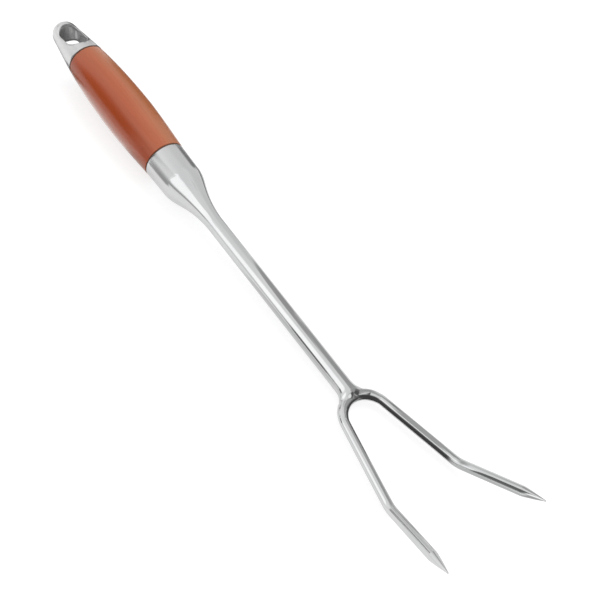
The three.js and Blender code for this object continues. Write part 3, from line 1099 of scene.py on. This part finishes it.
def card_along(name, middles, section, cover, ends, tone):
    """A card along a stretch; its section gives steps to the right of the way and upwards."""
    ways = [b - a for a, b in zip(middles, middles[1:])]
    run = np.cumsum([0.0, *(way.length for way in ways)])[:, None]
    rows = []
    for middle, way in zip(middles, [*ways, ways[-1]]):
        right = Vector((way.y, -way.x, 0)).normalized()
        places = [crotch_middle + middle + aside * right for aside, rise in section]
        heights = [max(0.0, at.z + rise) for at, (aside, rise) in zip(places, section)]
        rows.append([(at.x, at.y, height) for at, height in zip(places, heights)])
    start, end = ends
    fade = soft_step(run, 0, 2 * start) * (1 - soft_step(run, run[-1] - 2 * end, run[-1]))
    make_card(name, np.array(rows), tone, cover * fade)


def hang_flag(name, middles, aside, rises, soft, ends, tone):
    """An upright card beside a stretch, between two heights above its middle line."""
    heights = np.linspace(rises[0] - soft, rises[1] + soft, CARD_STEPS)
    section = [(aside, float(height)) for height in heights]
    card_along(name, middles, section, within(heights, *rises, soft), ends, tone)


def bend_arch(name, middles, angles, soft, ends, tone):
    """A card bent over a stretch, between two angles that count up from its right side."""
    steps = np.linspace(angles[0] - soft, angles[1] + soft, CARD_STEPS)
    section = [(ARCH_RADIUS * math.cos(a), ARCH_RADIUS * math.sin(a)) for a in np.radians(steps)]
    card_along(name, middles, section, within(steps, *angles, soft), ends, tone)


# %% Stretches of the rod
LEFT_POINT_FLAG = 0.012
RIGHT_POINT_FLAG = 0.024
CROTCH_STEPS = 10
ELBOW_STEPS = 8
ARCH_SHARES = (0.02, 0.94)
BACK_START = 0.30
OVER_THE_CROTCH = (Vector((0.0035, 0.0110, 0)), Vector((0.0082, 0.0062, 0)))
BEFORE_THE_NOSE = (Vector((0.0068, 0.0004, 0)), Vector((0.0068, -0.007, 0)))

leg_start, elbow_start, elbow_end = crotch_bend[-1], left_bend[0], left_bend[-1]
leg_with_its_ends = [
    *crotch_bend[-1 - CROTCH_STEPS:-1],
    *straight(leg_start, elbow_start),
    *left_bend[1:1 + ELBOW_STEPS],
]
point_start = left_tip - (left_tip - elbow_end).normalized() * LEFT_POINT_FLAG
right_point_start = right_tip - (right_tip - right_bend[0]).normalized() * RIGHT_POINT_FLAG
back_start = leg_start.lerp(elbow_start, BACK_START)
arch_ends = [leg_start.lerp(elbow_start, share) for share in ARCH_SHARES]
print("the leg's flag follows", len(leg_with_its_ends), "points of the rod")

# %% Cards along the rod
# Each flag: stretch, step aside, foot and top above the rod, softness, fade at the start and the
# end of the stretch, and its tone.
FLAGS = {
    "dark_flag_by_the_leg": (
        leg_with_its_ends,
        0.007, (-0.02, 0.008), 0.004, (0.003, 0.003), 0.06),
    "pale_back_of_the_flag": (
        straight(back_start, elbow_start),
        0.008, (-0.02, 0.008), 0.004, (0.004, 0.003), 0.60),
    "dark_flag_by_the_tine": (
        straight(elbow_end, point_start),
        0.007, (0.0025, 0.021), 0.002, (0.002, 0.002), 0.15),
    "grey_flag_by_the_point": (
        straight(point_start, left_tip),
        0.008, (-0.014, 0.003), 0.003, (0.001, 0.001), 0.45),
    "dark_flag_over_the_crotch": (
        straight(*OVER_THE_CROTCH),
        0, (0.0052, 0.0115), 0.0012, (0.0008, 0.0004), 0.10),
    "pale_flag_before_the_nose": (
        straight(*BEFORE_THE_NOSE),
        0, (0.0084, 0.0150), 0.0005, (0.0003, 0.001), 1.10),
    "pale_flag_by_the_right_point": (
        straight(right_point_start, right_tip),
        -0.008, (-0.012, 0.012), 0.003, (0.001, 0.001), 0.76),
}
for name, flag in FLAGS.items():
    hang_flag(name, *flag)
bend_arch(
    "grey_arch_over_the_leg", straight(*arch_ends),
    angles=(62, 175), soft=8, ends=(0.006, 0.005), tone=0.46)

# %% [markdown]
# ### Lamp
#
# One soft lamp behind the fork on the right gives the matt surfaces a direction and the fork its
# faint shadow. The steel doesn't mirror it, because the tent already holds what the steel shows.

# %% Lamp
LAMP_PLACE = Vector((-0.4, 0.9, 1.8))
LAMP_SIZE = (1.6, 1.2)
LAMP_POWER = 14
lamp_data = bpy.data.lights.new("soft_lamp", "AREA")
lamp_data.shape = "RECTANGLE"
lamp_data.size, lamp_data.size_y = LAMP_SIZE
lamp_data.energy = LAMP_POWER
lamp = bpy.data.objects.new("soft_lamp", lamp_data)
lamp.location = LAMP_PLACE
lamp.rotation_euler = (-LAMP_PLACE).to_track_quat("-Z", "Y").to_euler()
lamp.visible_glossy = False
lamp.visible_camera = False
bpy.context.scene.collection.objects.link(lamp)
print("lamp stands", round(LAMP_PLACE.length, 2), "m away")

# %% [markdown]
# ## Camera
#
# The camera looks down on the fork from the side of its points, a little more than half a metre
# away, and is rolled so that the fork runs from the top left to the bottom right.

# %% Camera
EYE = Vector((0.2813, -0.2645, 0.4896))
AIM = Vector((0.0385, 0.0184, 0.0))
ROLL = math.radians(15.59)
SENSOR_MM = 36
LENS_MM = 60
camera_data = bpy.data.cameras.new("camera")
camera_data.sensor_width = SENSOR_MM
camera_data.lens = LENS_MM
camera = bpy.data.objects.new("camera", camera_data)
camera.rotation_mode = "QUATERNION"
camera.location = EYE
turn_to_aim = (AIM - EYE).to_track_quat("-Z", "Y")
camera.rotation_quaternion = turn_to_aim @ Matrix.Rotation(ROLL, 3, "Z").to_quaternion()
bpy.context.scene.collection.objects.link(camera)
bpy.context.scene.camera = camera
bpy.context.scene.view_settings.view_transform = "Standard"
print("camera stands", round((AIM - EYE).length, 3), "m from what it looks at")
